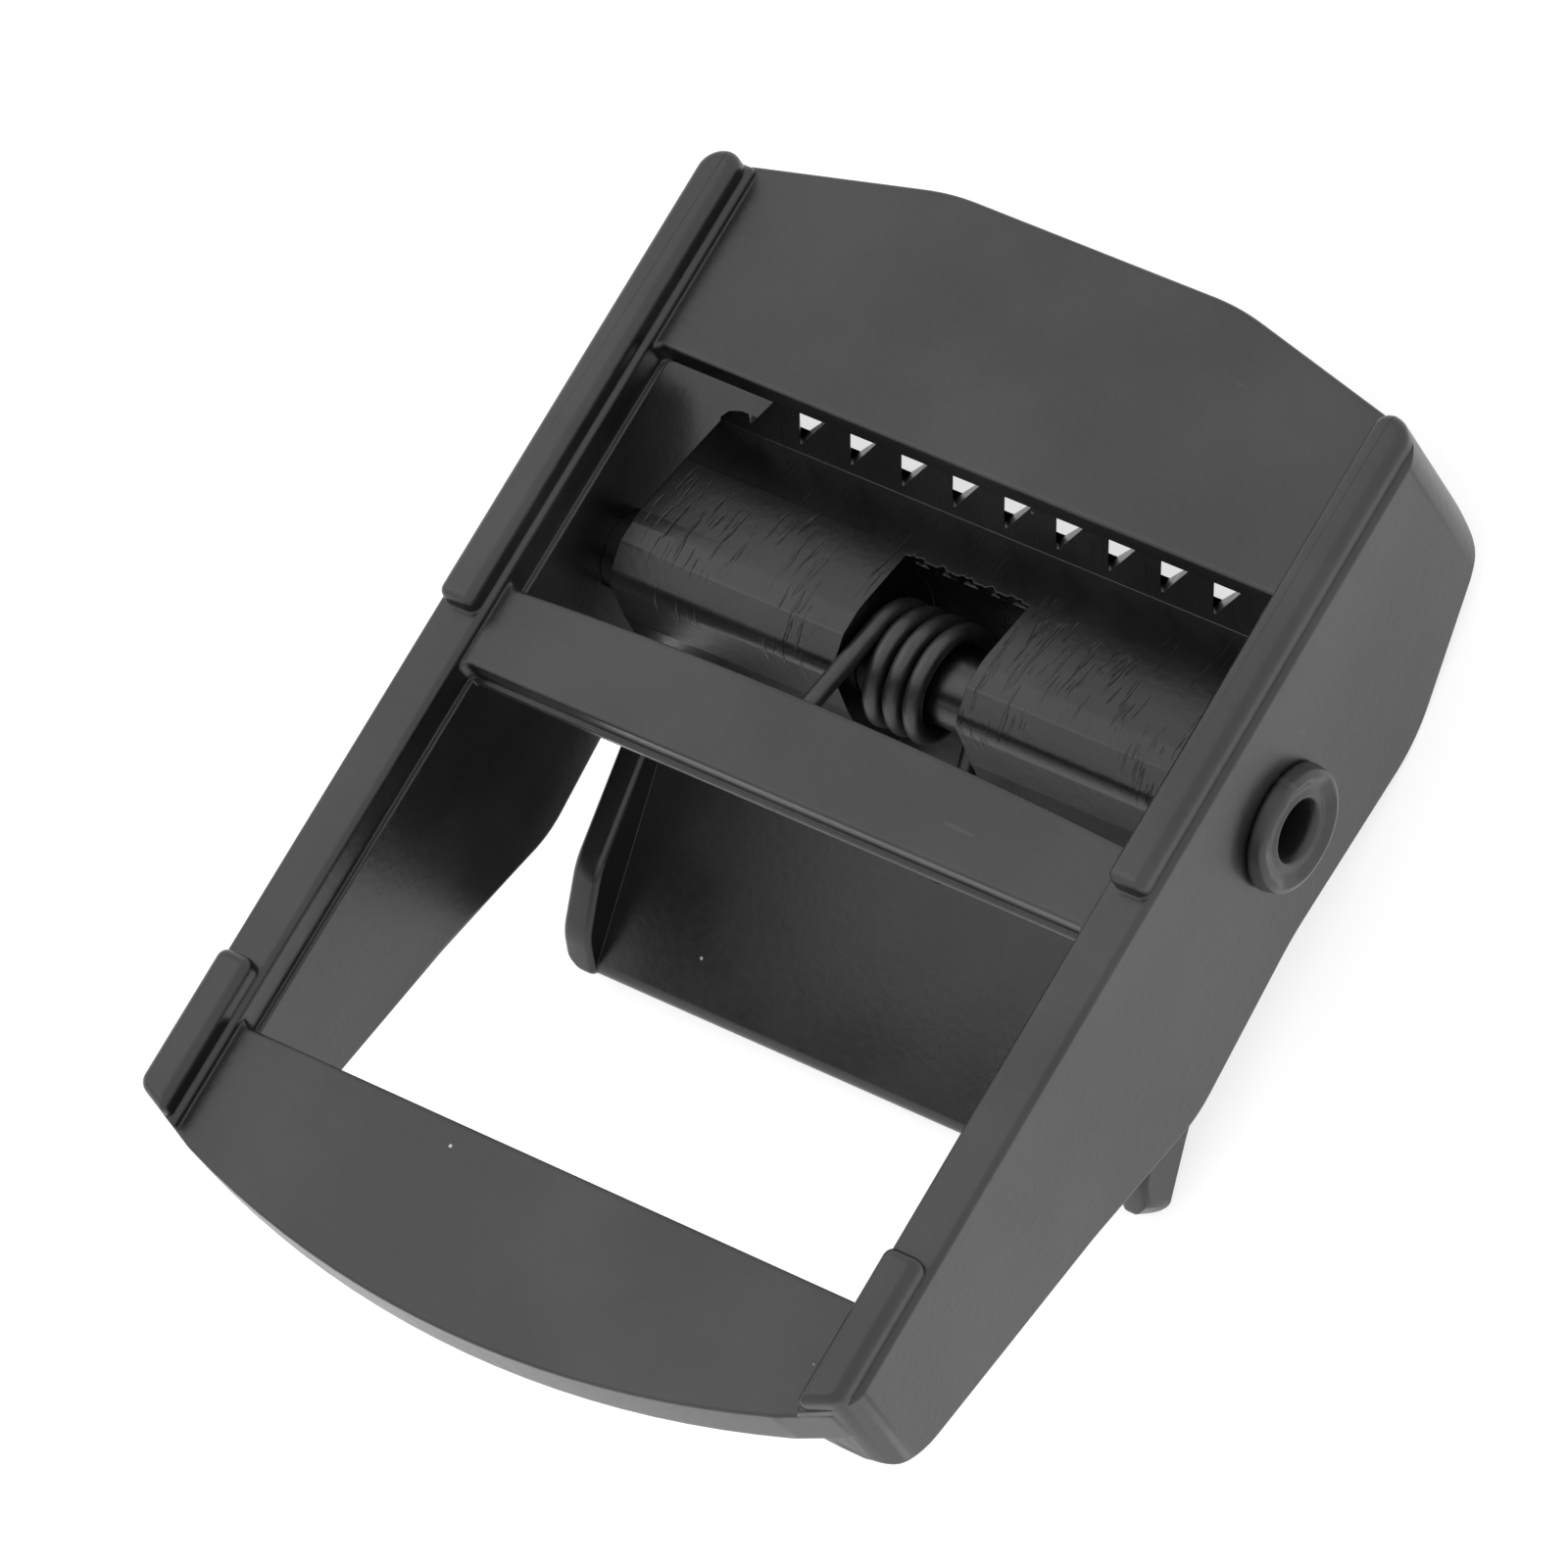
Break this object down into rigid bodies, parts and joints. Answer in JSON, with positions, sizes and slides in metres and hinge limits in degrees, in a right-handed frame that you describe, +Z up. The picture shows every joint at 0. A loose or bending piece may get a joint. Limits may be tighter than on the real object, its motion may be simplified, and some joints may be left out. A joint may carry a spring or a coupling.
{
  "type": "spring-loaded cam buckle",
  "caption": "Cam buckle for webbing: cast frame with end bar, mid bar and base plate, toothed cam lever on a hollow rivet pin, and a torsion spring that closes it",
  "frame": {"origin": "centre of the bounding box in plan, at the surface the buckle rests on", "axes": "X across the strap along the hinge pin, Y along the strap from the end bar to the base plate, Z up from the surface. The buckle lies on its lever's end and its side walls, so its plates lean 16.2 degrees from level, the end bar higher"},
  "size_m": [0.0312, 0.0426, 0.0202],
  "materials": {
    "frame_black": "satin black coating on a zinc casting",
    "lever_black": "satin black coating, rubbed on the drum",
    "pin_black": "black coated steel rivet",
    "spring_wire": "dark spring steel wire"
  },
  "bodies": {
    "frame": {"frame": "frame_black", "hinge_pin": "pin_black", "torsion_spring": "spring_wire"},
    "lever": {"cam_lever": "lever_black"}
  },
  "joints": [
    {"name": "lever_hinge", "type": "hinge", "parent": "frame", "child": "lever", "pos_m": [0, 0.00561, 0.007], "axis": [-1, 0, 0], "range_deg": [0, 65], "stiffness_Nm_per_rad": 0.04, "springref_deg": -57.3, "deforming": ["torsion_spring"]}
  ]
}
